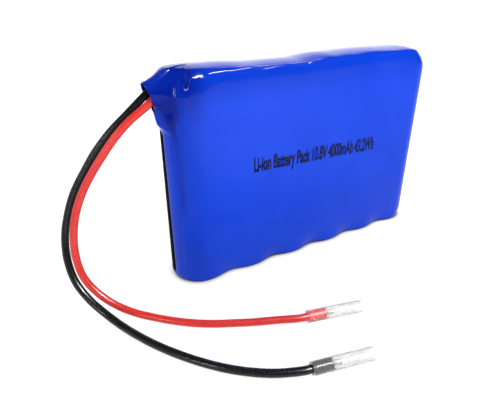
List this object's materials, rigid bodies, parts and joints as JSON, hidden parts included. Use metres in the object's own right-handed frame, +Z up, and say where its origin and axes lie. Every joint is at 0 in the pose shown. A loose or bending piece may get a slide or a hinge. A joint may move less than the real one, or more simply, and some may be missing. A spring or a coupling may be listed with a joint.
{
  "type": "lithium-ion battery pack",
  "caption": "Flat cell pack in a blue heat-shrink sleeve, standing on edge, with a red and a black lead that leave one top corner and end in clear protective caps.",
  "frame": {"origin": "on the surface the pack stands on, under the middle of the pack (the sleeve with its spout, without the leads)", "axes": "+X along the row of cells, away from the corner where the leads leave; +Y through the pack's thickness, towards the plain back; +Z up"},
  "size_m": [0.1477, 0.0778, 0.074],
  "materials": {
    "film": "glossy shrunk PVC film",
    "steel": "nickel-plated deep-drawn steel",
    "cell_wrap": "thin plain cell wrap",
    "nickel": "rolled nickel strip",
    "fish_paper": "vulcanised fibre paper",
    "foam": "double-sided foam tape",
    "board": "solder-masked glass-fibre board",
    "chip": "moulded epoxy",
    "solder": "tinned, slightly dull",
    "glue": "set hot-melt glue",
    "red_wire": "extruded soft insulation",
    "black_wire": "extruded soft insulation",
    "yellow_wire": "extruded thin insulation",
    "clear_cap": "clear soft PVC tube",
    "dark_sheet": "black insulating sheet"
  },
  "bodies": {
    "pack": {"shrink_sleeve": "film", "cell_1_can": "steel", "cell_1_wrap": "cell_wrap", "cell_1_washer": "fish_paper", "cell_1_button": "steel", "cell_2_can": "steel", "cell_2_wrap": "cell_wrap", "cell_2_washer": "fish_paper", "cell_2_button": "steel", "cell_3_can": "steel", "cell_3_wrap": "cell_wrap", "cell_3_washer": "fish_paper", "cell_3_button": "steel", "cell_4_can": "steel", "cell_4_wrap": "cell_wrap", "cell_4_washer": "fish_paper", "cell_4_button": "steel", "cell_5_can": "steel", "cell_5_wrap": "cell_wrap", "cell_5_washer": "fish_paper", "cell_5_button": "steel", "cell_6_can": "steel", "cell_6_wrap": "cell_wrap", "cell_6_washer": "fish_paper", "cell_6_button": "steel", "glue_bead_1": "glue", "glue_bead_2": "glue", "glue_bead_3": "glue", "glue_bead_4": "glue", "glue_bead_5": "glue", "strip_plus": "nickel", "strip_link_top": "nickel", "strip_link_base": "nickel", "strip_minus": "nickel", "base_board": "fish_paper", "top_board": "fish_paper", "cover_paper": "fish_paper", "end_sheet_left": "dark_sheet", "end_sheet_right": "dark_sheet", "foam_pad": "foam", "protection_board": "board", "mosfet_1": "chip", "mosfet_2": "chip", "control_chip": "chip", "sense_resistor": "chip", "solder_plus_strip": "solder", "solder_link_strip": "solder", "solder_red_lead": "solder", "solder_black_lead": "solder", "solder_sense_wire": "solder", "solder_return_wire": "solder", "sense_wire": "yellow_wire", "return_wire": "black_wire", "red_lead": "red_wire", "red_tinned_end": "solder", "black_lead": "black_wire", "black_tinned_end": "solder"},
    "red_cap": {"red_end_cap": "clear_cap"},
    "black_cap": {"black_end_cap": "clear_cap"}
  },
  "joints": [
    {"name": "red_cap_pull", "type": "slide", "parent": "pack", "child": "red_cap", "axis": [0.968, -0.251, 0], "range_m": [0, 0.012]},
    {"name": "black_cap_pull", "type": "slide", "parent": "pack", "child": "black_cap", "axis": [0.9723, -0.2338, 0], "range_m": [0, 0.012]}
  ]
}
